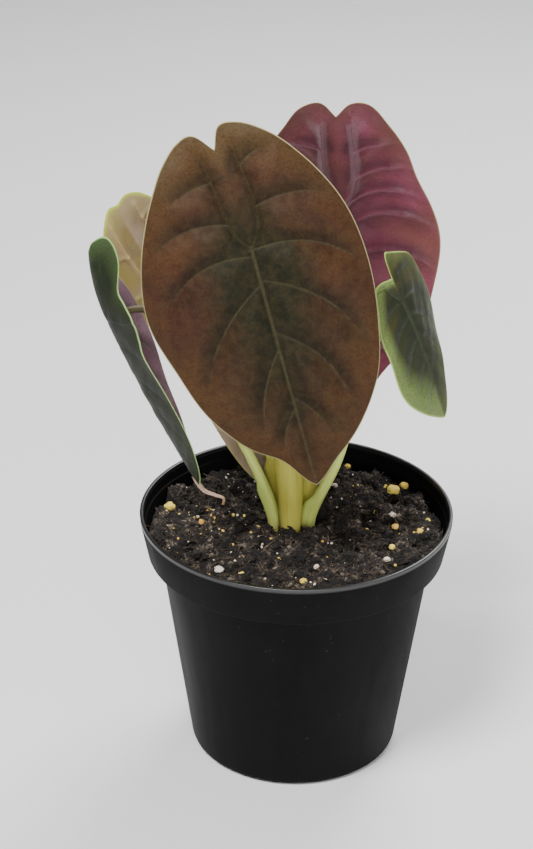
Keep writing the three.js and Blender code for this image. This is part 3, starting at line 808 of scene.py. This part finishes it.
def swept(name, path, radius, sides=28):
    """A closed tube; radius(share, angle) gives (reach, wing) round the path."""
    count = len(path)
    tangents = np.gradient(path, axis=0)
    tangents /= np.linalg.norm(tangents, axis=1)[:, None]
    across = unit(np.cross(tangents[0], (0, 1, 0)))
    points, marks, flat = [], [], []
    angles = np.linspace(0, 2 * math.pi, sides, endpoint=False)
    for n in range(count):
        across = unit(across - tangents[n] * np.dot(across, tangents[n]))
        over = np.cross(tangents[n], across)
        share = n / (count - 1)
        for angle in angles:
            reach, wing = radius(share, angle)
            points.append(path[n] + reach * (math.cos(angle) * across + math.sin(angle) * over))
            marks.append((share, wing, 0, 1))
            flat.append((angle / (2 * math.pi), share))
    points += [path[0], path[-1]]
    marks += [(0, 0, 0, 1), (1, 0, 0, 1)]
    flat += [(0.5, 0), (0.5, 1)]
    first, last = count * sides, count * sides + 1
    faces = []
    for start in range(0, (count - 1) * sides, sides):
        faces += band_faces(start, start + sides, sides)
    faces += fan_faces(first, 0, sides) + fan_faces(last, (count - 1) * sides, sides, flip=True)
    mesh = mesh_of(name, points, faces)
    set_marks(mesh, marks, flat)
    right_way_out(mesh)
    return mesh


STALK_SIZES = {
    # radius at the soil, at a quarter and at the blade, then its sheath's wings:
    # direction (0 left, 90 front, 180 right), reach, share of the stalk at its top, spread
    "front": (3.3, 3.0, 1.6, ((8, 2.6, 0.32, 26), (178, 3.2, 0.29, 28))),
    "back_right": (3.3, 2.9, 1.6, ((200, 2.4, 0.22, 24),)),
    "back_left": (3.0, 2.6, 1.4, ((350, 2.2, 0.24, 24),)),
    "left": (2.3, 1.9, 1.3, ((5, 1.3, 0.17, 20), (120, 0.6, 0.20, 16))),
    "right": (2.5, 2.0, 1.3, ((8, 1.9, 0.14, 24), (100, 0.6, 0.18, 16))),
}


def stalk_radius(sizes):
    base, quarter, end, wings = sizes

    def radius(share, angle):
        plain = np.interp(
            share, (0, 0.08, 0.25, 0.6, 1), (base * 0.9, base, quarter, (quarter + end) / 2, end))
        fin = 0.0
        for way, reach, top, spread in wings:
            rise = np.clip(share / top, 0, 1) ** 0.8 * np.clip((top + 0.035 - share) / 0.035, 0, 1)
            off = (math.degrees(angle) - way + 180) % 360 - 180
            fin += reach * rise * math.exp(-((off / spread) ** 2))
        ribs = 0.035 * plain * math.cos(9 * angle) * (1 - share)
        return plain + fin + ribs, min(fin / 1.5, 1)
    return radius


def stalk_path(leaf):
    """From the stem base, through the leaf's own points, to just under the blade."""
    up = axes_of(leaf)[1]
    way = math.radians(leaf["foot"])
    spread = STALK_SPREAD * np.array([math.cos(way), math.sin(way)])
    foot = np.array([*(np.array(CROWN) + spread), SOIL_LEVEL - 5])
    joint = above_soil(leaf["at"])
    places = [foot, foot + (0, 0, 9), *map(above_soil, leaf["stalk"])]
    places += [joint - up * 6, joint - up * (1.1 + 0.7 * leaf["relief"])]
    return curve_through(places, 110)


for leaf_name, leaf in LEAVES.items():
    radius = stalk_radius(STALK_SIZES[leaf_name])
    stalk = swept(f"stalk_{leaf_name}_stem", stalk_path(leaf), radius)
    # Painted light: the two side stalks take the brightened copies.
    look = {"left": STALK_DUSKY, "right": STALK_PAINTED_LIT}.get(leaf_name, STALK)
    keep(f"stalk_{leaf_name}_stem", stalk, [f"stalk_{leaf_name}"], [look])


# ---- the left blade's long drip tip ----
# Its way, in mm from the tip of the blade.
DRIP_STEPS = (
    (-1.6, 0.3, 3.7), (-0.5, 0.1, 1.2), (2.0, -0.2, -2.2),
    (6.0, -0.3, -4.0), (9.2, -0.3, -5.4), (9.0, -0.2, -8.2),
)


def drip_radius(share, angle):
    return (0.85 - 0.5 * share) * (1 + 0.35 * math.cos(2 * angle)), 1 - share


tip_ahead = np.array([float(LEAVES["left"]["outline"][0][0])])
tip_end = blade_points(LEAVES["left"], 0, np.zeros(1), tip_ahead)[0][0]
drip_path = curve_through([tip_end + step for step in DRIP_STEPS], 40)
drip = swept("leaf_left_drip", drip_path, drip_radius, 16)
keep("leaf_left_drip", drip, (), [DRIP])


# ---- stem base ----
# Radius, and depth under the soil's level.
CROWN_PROFILE = ((0, 24), (4.5, 24), (9.3, 17), (10.8, 10), (10.0, 4), (7.5, 2), (0, 1.4))

crown = turned(
    "stem_base_root", [(radius, SOIL_LEVEL - depth) for radius, depth in CROWN_PROFILE], 64, STALK)
for vertex in crown.vertices:
    vertex.co.x += CROWN[0] * MM
    vertex.co.y += CROWN[1] * MM
right_way_out(crown)
crown_flat = [(vertex.co.x * 20, vertex.co.y * 20) for vertex in crown.vertices]
set_marks(crown, [(0.03, 0, 0, 1)] * len(crown.vertices), crown_flat)
keep("stem_base_root", crown, ["stem_base"], [STALK])


# ---- pot ----
def rounded(corner, before, after, radius, steps=4):
    """The points of a round corner between two straight runs of a profile."""
    corner, before, after = (np.asarray(p, float) for p in (corner, before, after))
    start = corner + unit(before - corner) * radius
    end = corner + unit(after - corner) * radius
    shares = np.linspace(0, 1, steps)
    return [tuple((1 - s) ** 2 * start + 2 * s * (1 - s) * corner + s**2 * end) for s in shares]


def pot_profile():
    """Up the outside, over the rim and down the inside. Each corner has its rounding."""
    inside = RIM_RADIUS - WALL
    corners = [
        ((0, 0), 0), ((FOOT_RADIUS, 0), HEEL_ROUND), ((BODY_RADIUS, BAND_BOTTOM), 0.5),
        ((BAND_FOOT_RADIUS, BAND_BOTTOM), 0.6), ((RIM_RADIUS - 0.15, POT_HEIGHT - 2.4), 0.5),
        ((RIM_RADIUS, POT_HEIGHT), 0.45), ((inside - 0.2, POT_HEIGHT), 0.4),
        ((inside - 0.6, POT_HEIGHT - 5.0), 0.3), ((inside - 1.2, POT_HEIGHT - 5.3), 0.25),
        ((inside - 1.4, POT_HEIGHT - 6.9), 0.3),
        ((BAND_FOOT_RADIUS - WALL, BAND_BOTTOM + WALL), 0.5),
        ((BODY_RADIUS - WALL, BAND_BOTTOM + WALL), 0.5),
        ((FOOT_RADIUS - WALL, FLOOR_THICKNESS), HEEL_ROUND), ((0, FLOOR_THICKNESS), 0),
    ]
    profile = [corners[0][0]]
    for n in range(1, len(corners) - 1):
        corner, radius = corners[n]
        profile += rounded(corner, corners[n - 1][0], corners[n + 1][0], radius)
    profile.append(corners[-1][0])
    return profile


def drain_drills():
    """The rods that the drain holes are cut with."""
    drills = bmesh.new()
    reach = FOOT_RADIUS - DRAIN_INSET - DRAIN_RADIUS
    for i in range(DRAIN_HOLES):
        way = 2 * math.pi * (i + 0.5) / DRAIN_HOLES
        made = bmesh.ops.create_cone(
            drills, cap_ends=True, segments=40, radius1=DRAIN_RADIUS * MM,
            radius2=DRAIN_RADIUS * MM, depth=8 * MM)
        place = Vector((reach * math.cos(way), reach * math.sin(way), 0)) * MM
        bmesh.ops.translate(drills, verts=made["verts"], vec=place)
    mesh = bpy.data.meshes.new("drills")
    drills.to_mesh(mesh)
    drills.free()
    return mesh


def pot_piece():
    mesh = turned("pot_shell", pot_profile(), 256, PLASTIC)
    right_way_out(mesh)
    shell = placed("pot_shell_raw", mesh)
    drill = placed("drills", drain_drills())
    cut = shell.modifiers.new("drain_holes", "BOOLEAN")
    cut.operation = "DIFFERENCE"
    cut.solver = "EXACT"
    cut.object = drill
    finished = baked(shell)
    for spare in (shell, drill):
        bpy.data.objects.remove(spare)
    finished.name = "pot_shell"
    finished.polygons.foreach_set("use_smooth", [True] * len(finished.polygons))
    finished.set_sharp_from_angle(angle=math.radians(38))
    finished.materials.clear()
    return keep("pot_shell", finished, ["pot"], [PLASTIC])


pot_piece()


# ---- soil ----
def wavy(x, y):
    waves = np.sin(x / 7 + 1) * np.cos(y / 9) + 0.6 * np.sin((x + y) / 5) * np.sin(y / 6 + 2)
    return SOIL_LEVEL + 1.1 * waves / 1.6


def lumps(x, y, seed=5, octaves=6, size=16.0, height=0.9):
    """Rough ground: turned sine waves, each layer finer and lower than the one before."""
    rng = np.random.default_rng(seed)
    out = np.zeros_like(x)
    for _ in range(octaves):
        for _ in range(5):
            way = rng.uniform(0, 2 * math.pi)
            start = rng.uniform(0, 7)
            run = x * math.cos(way) + y * math.sin(way)
            out += height * np.sin(run * 2 * math.pi / size + start) / 5
        size *= 0.58
        height *= 0.74
    return out


def domes(x, y, count, wide, tall, seed):
    """Round lumps heaped on each other: the highest one wins; a negative height digs pits."""
    rng = np.random.default_rng(seed)
    out = np.zeros_like(x)
    for _ in range(count):
        away = RIM_RADIUS * math.sqrt(rng.uniform())
        way = rng.uniform(0, 2 * math.pi)
        radius = rng.uniform(*wide)
        height = rng.uniform(*tall)
        squash_x, squash_y = rng.uniform(0.75, 1.3, 2)
        from_x, from_y = x - away * math.cos(way), y - away * math.sin(way)
        off = np.hypot(from_x * squash_x, from_y * squash_y) / radius
        lump = height * np.sqrt(np.clip(1 - off**2, 0, 1))
        out = np.maximum(out, lump) if height > 0 else np.minimum(out, lump)
    return out


def soil_top(x, y):
    away = np.hypot(x - CROWN[0], y - CROWN[1])
    mound = 1.4 * np.exp(-((away / 17) ** 2))
    ground = wavy(x, y) + mound - 2.8 + 1.5 * lumps(x, y)
    ground += domes(x, y, 115, (3.0, 8.0), (1.4, 5.4), 71)
    ground += domes(x, y, 30, (3.0, 7.0), (-5.0, -2.0), 72)
    ground += domes(x, y, 1300, (0.8, 2.4), (0.5, 1.7), 73)
    return ground


def soil_ring(radius, angles):
    """Points on top of the soil, in a ring."""
    x, y = radius * np.cos(angles), radius * np.sin(angles)
    return list(np.stack([x, y, soil_top(x, y)], 1))


def soil_piece():
    spokes, rings = 360, 130
    shelf = BAND_BOTTOM + WALL + 0.3
    edge_radius = RIM_RADIUS - WALL - 2.35
    points = [(0, 0, FLOOR_THICKNESS + 0.3)]
    angles = np.linspace(0, 2 * math.pi, spokes, endpoint=False)
    sides = [
        (FOOT_RADIUS - WALL - HEEL_ROUND - 0.3, FLOOR_THICKNESS + 0.3),
        (FOOT_RADIUS - WALL - 0.6, FLOOR_THICKNESS + HEEL_ROUND + 0.3),
        (BODY_RADIUS - WALL - 0.5, shelf),
        (BAND_FOOT_RADIUS - WALL - 0.4, shelf + 0.2),
    ]
    for radius, height in sides:
        points += [(radius * math.cos(a), radius * math.sin(a), height) for a in angles]
    for share in np.linspace(1, 0, rings, endpoint=False):
        points += soil_ring(edge_radius * share, angles)
    points += soil_ring(0.0, np.zeros(1))
    last = 1 + (len(sides) + rings - 1) * spokes
    faces = []
    for start in range(1, last, spokes):
        faces += band_faces(start, start + spokes, spokes)
    faces += fan_faces(0, 1, spokes) + fan_faces(len(points) - 1, last, spokes, flip=True)
    mesh = mesh_of("soil_bed", points, faces)
    right_way_out(mesh)
    return keep("soil_bed", mesh, ["soil"], [SOIL])


soil_piece()


def patch_for_scatter():
    """The open top of the soil, for crumbs to lie on; it is taken away afterwards."""
    spokes, rings = 90, 36
    angles = np.linspace(0, 2 * math.pi, spokes, endpoint=False)
    points = soil_ring(0.0, np.zeros(1))
    for share in np.arange(1, rings + 1) / rings:
        points += soil_ring((RIM_RADIUS - WALL - 3.6) * share, angles)
    faces = [(0, 1 + i, 1 + (i + 1) % spokes) for i in range(spokes)]
    for n in range(rings - 1):
        a, b = 1 + n * spokes, 1 + (n + 1) * spokes
        pairs = [(i, (i + 1) % spokes) for i in range(spokes)]
        faces += [(a + i, b + i, b + k, a + k) for i, k in pairs]
    return mesh_of("soil_open_top", points, faces)


def scatter_tree(name, material, stretch, rough, level):
    """Lumps strewn over a surface. Inputs: Surface, Density, Small, Large, Sink and Seed."""
    net = Growth(name, "Lumps", Surface="Geometry", Density="Float", Small="Float",
                 Large="Float", Sink="Float", Seed="Int")
    given = net.given
    spread = net.node("GeometryNodeDistributePointsOnFaces", {
        "Mesh": given["Surface"], "Density": given["Density"], "Seed": given["Seed"]})
    ball = net.node("GeometryNodeMeshIcoSphere", {"Radius": 0.5, "Subdivisions": level})
    shaped = net.node("GeometryNodeTransform", {"Geometry": ball.outputs["Mesh"], "Scale": stretch})
    turn = net.node("FunctionNodeRandomValue", {
        0: (-0.7, -0.7, 0), 1: (0.7, 0.7, 6.283), "Seed": given["Seed"]}, data_type="FLOAT_VECTOR")
    size = net.node("FunctionNodeRandomValue", {
        2: given["Small"], 3: given["Large"], "Seed": given["Seed"]}, data_type="FLOAT")
    place = net.node("GeometryNodeInstanceOnPoints", {
        "Points": spread.outputs["Points"], "Instance": shaped,
        "Rotation": turn, "Scale": size.outputs[1]})
    real = net.node("GeometryNodeRealizeInstances", {"Geometry": place})
    noise = net.node("ShaderNodeTexNoise", {
        "Vector": net.node("GeometryNodeInputPosition"), "Scale": 900.0, "Detail": 2.0})
    centred = net.node("ShaderNodeVectorMath", {
        0: noise.outputs["Color"], 1: (0.5, 0.5, 0.5)}, operation="SUBTRACT")
    scaled = net.node("ShaderNodeVectorMath", {0: centred, "Scale": rough}, operation="SCALE")
    shift = net.node("GeometryNodeSetPosition", {"Geometry": real, "Offset": scaled})
    down = net.node("ShaderNodeCombineXYZ", {"Z": given["Sink"]})
    drop = net.node("GeometryNodeSetPosition", {"Geometry": shift, "Offset": down})
    flat = net.node("GeometryNodeSetShadeSmooth", {"Geometry": drop, "Shade Smooth": False})
    coat = net.node("GeometryNodeSetMaterial", {"Geometry": flat, "Material": material})
    net.node("NodeGroupOutput", {"Lumps": coat})
    return net.tree


def strew(name, material, density, small, large,
          sink=0.0, seed=1, stretch=(1, 0.8, 0.65), rough=0.0006, level=2):
    """Sizes and sink are in mm, density in lumps to a square metre."""
    tree = scatter_tree(name + "_tree", material, stretch, rough, level)
    mesh = grown(
        name, patch_for_scatter(), tree, Density=float(density), Small=small * MM,
        Large=large * MM, Sink=sink * MM, Seed=seed)
    mesh.materials.clear()
    return keep(name, mesh, (), [material])


strew("soil_crumbs", CRUMB, 210000, 1.0, 2.8, seed=4, rough=0.0012)
strew("soil_dust", CRUMB, 700000, 0.5, 1.3, seed=5, rough=0.0006, level=1)
strew("soil_clods", SOIL, 34000, 2.6, 5.6, sink=-0.4, seed=9, rough=0.0026, level=3)
strew("soil_fibres", FIBRE, 130000, 1.6, 5.0, sink=0.4, seed=14,
      stretch=(1.6, 0.09, 0.09), rough=0.0009)
strew("perlite_specks", PERLITE, 14000, 0.4, 1.5, sink=0.4, seed=21, rough=0.0006)
strew("grit_specks", GRIT, 12000, 0.4, 1.6, sink=0.4, seed=33, rough=0.0006)


# ---- grit and perlite grains, one for each node ----
def add_lump(body, middle, half, rng):
    """One rough stone: a ball with flats cut off it."""
    made = bmesh.ops.create_icosphere(body, subdivisions=3, radius=1.0)
    flats = [(unit(rng.normal(size=3)), rng.uniform(0.12, 0.34)) for _ in range(8)]
    for vertex in made["verts"]:
        way = np.array(vertex.co)
        reach = 1.12
        for lean, depth in flats:
            if way @ lean > 0.5:
                reach = min(reach, (1.12 - depth) / (way @ lean))
        reach += 0.06 * math.sin(9 * way[0] + 7 * way[1]) * math.sin(8 * way[2] + 3 * way[0])
        vertex.co = Vector(middle + way * half * reach)


def grains(prefix, material, seed):
    rng = np.random.default_rng(seed)
    nodes = [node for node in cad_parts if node.startswith(prefix + "_")]
    nodes.sort(key=lambda node: int(node.split("_")[1]))
    body = bmesh.new()
    for node in nodes:
        low, high = (np.array(c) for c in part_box(node))
        middle, half = (low + high) / 2 + (0, 0, GRAIN_LIFT), (high - low) / 2
        for lump in range(5):
            size = 0.86 if lump == 0 else rng.uniform(0.35, 0.6)
            shift = unit(rng.normal(size=3)) * (0 if lump == 0 else 0.98 - size * 0.75)
            add_lump(body, middle + half * shift, half * size * 1.08, rng)
    mesh = bpy.data.meshes.new(prefix + "_grains")
    body.to_mesh(mesh)
    body.free()
    keep(prefix + "_grains", mesh, nodes, [material])


grains("grit", GRIT, 41)
grains("perlite", PERLITE, 43)


# ---- floor, lights and camera ----
def stage():
    mesh = bpy.data.meshes.new("studio_floor")
    reach = 6.0
    corners = [(x * reach, y * reach, 0) for x, y in ((-1, -1), (1, -1), (1, 1), (-1, 1))]
    mesh.from_pydata(corners, [], [(0, 1, 2, 3)])
    floor = placed("studio_floor", mesh)
    shade = Shade("floor_pale")
    mesh.materials.append(shade.finish(**{"Base Color": (0.86, 0.86, 0.86, 1), "Roughness": 0.9}))
    world = bpy.data.worlds.new("studio")
    world.use_nodes = True
    sky = world.node_tree.nodes["Background"].inputs
    sky["Color"].default_value = (1, 1, 1, 1)
    sky["Strength"].default_value = 0.24
    bpy.context.scene.world = world


def lamp(name, place, aim, size, power):
    data = bpy.data.lights.new(name, "AREA")
    data.shape = "DISK"
    data.size = size
    data.energy = power
    light = placed(name, data)
    light.location = place
    light.rotation_euler = (Vector(aim) - Vector(place)).to_track_quat("-Z", "Y").to_euler()


def camera():
    data = bpy.data.cameras.new("camera")
    data.lens = 88.9
    data.sensor_width = 36.0
    data.sensor_fit = "AUTO"
    eye = placed("camera", data)
    eye.location = Vector((-1.8, -702.3, 493.1)) * MM
    yaw, pitch, roll = -0.014, 0.470, 0.007
    level = math.cos(pitch)
    aim = Vector((math.sin(yaw) * level, math.cos(yaw) * level, -math.sin(pitch)))
    eye.rotation_mode = "QUATERNION"
    eye.rotation_quaternion = Quaternion(aim, -roll) @ aim.to_track_quat("-Z", "Y")
    bpy.context.scene.camera = eye


stage()
lamp("key", (-0.35, -0.55, 1.25), (0, 0, 0.15), 0.45, 22.0)
lamp("fill", (0.9, -0.75, 0.65), (0, 0, 0.15), 0.9, 2.4)
lamp("front", (0.12, -1.1, 0.42), (0, 0, 0.13), 0.7, 6.5)
lamp("back", (0.35, 0.75, 1.05), (0, 0, 0.18), 0.7, 16.0)
camera()
